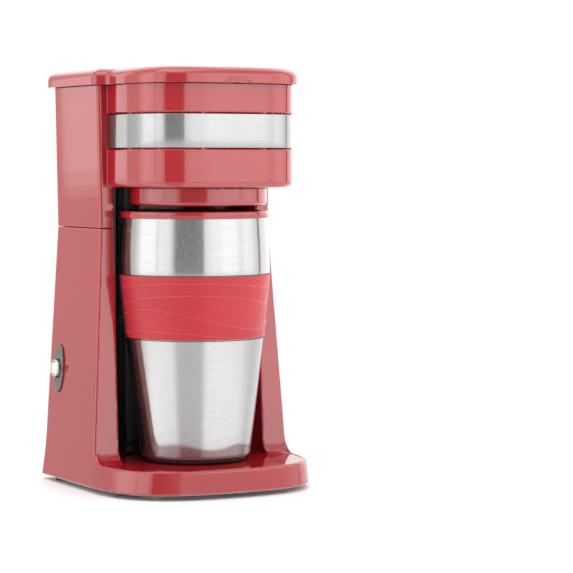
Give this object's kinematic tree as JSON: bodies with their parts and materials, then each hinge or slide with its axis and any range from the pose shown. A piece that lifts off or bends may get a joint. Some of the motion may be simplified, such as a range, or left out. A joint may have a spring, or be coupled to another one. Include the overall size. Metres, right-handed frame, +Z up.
{
  "type": "drip coffee maker",
  "caption": "Single-serve drip coffee maker: hinged lid, overhanging brew head with a steel band, side button and a steel travel mug with a red grip in its bay.",
  "frame": {"origin": "on the table under the middle of the machine's length and width", "axes": "+Z up, -Y towards the front where the mug stands, -X towards the side with the button"},
  "size_m": [0.132, 0.1364, 0.2454],
  "materials": {
    "red_gloss": "glossy moulded red",
    "red_rubber": "matte red silicone",
    "black_gloss": "glossy black",
    "black_matte": "fine grained black",
    "foot_rubber": "matte black rubber",
    "steel": "brushed, satin",
    "chrome": "bright plated",
    "grey_plate": "brushed grey",
    "cast_aluminium": "cast, dull",
    "grey_plastic": "moulded grey",
    "clear_grey": "translucent grey",
    "silicone": "pale silicone",
    "nylon_mesh": "fine woven nylon"
  },
  "bodies": {
    "housing": {"lower_housing": "red_gloss", "upper_housing": "red_gloss", "head_band": "steel", "drip_housing": "red_gloss", "bay_lining": "black_gloss", "hinge_pin_left": "steel", "hinge_pin_right": "steel", "water_reservoir": "clear_grey", "riser_tube": "black_matte", "inlet_valve": "grey_plastic", "inlet_hose": "silicone", "riser_hose": "silicone", "boiler_tube": "cast_aluminium", "heating_rod": "steel", "thermostat": "grey_plastic", "thermal_fuse": "steel", "boiler_bracket": "steel", "brew_basket": "black_matte", "mesh_filter": "nylon_mesh", "filter_tab": "black_matte", "button_plate": "grey_plate", "switch_body": "black_matte", "switch_wire": "foot_rubber", "heater_wire": "foot_rubber", "cord_bushing": "foot_rubber", "base_plate": "black_matte", "foot_rear_left": "foot_rubber", "foot_rear_right": "foot_rubber", "foot_front_left": "foot_rubber", "foot_front_right": "foot_rubber", "base_screw_1": "steel", "base_screw_2": "steel", "base_screw_3": "steel", "base_screw_4": "steel"},
    "lid": {"lid_cover": "red_gloss", "lid_water_channel": "black_matte", "spray_head": "black_matte", "riser_seal": "silicone"},
    "button": {"button_cap": "chrome", "button_lens": "clear_grey"},
    "mug": {"mug_shell": "steel", "mug_liner": "red_gloss", "mug_sleeve": "red_rubber", "mug_base_pad": "foot_rubber"}
  },
  "joints": [
    {"name": "lid_hinge", "type": "hinge", "parent": "housing", "child": "lid", "pos_m": [0, 0.0662, 0.2384], "axis": [-1, 0, 0], "range_deg": [0, 100]},
    {"name": "mug_slide", "type": "slide", "parent": "housing", "child": "mug", "axis": [0, -1, 0], "range_m": [0, 0.11]},
    {"name": "button_push", "type": "slide", "parent": "housing", "child": "button", "axis": [0.9981, 0, -0.0614], "range_m": [0, 0.0022], "stiffness_N_per_m": 300}
  ]
}
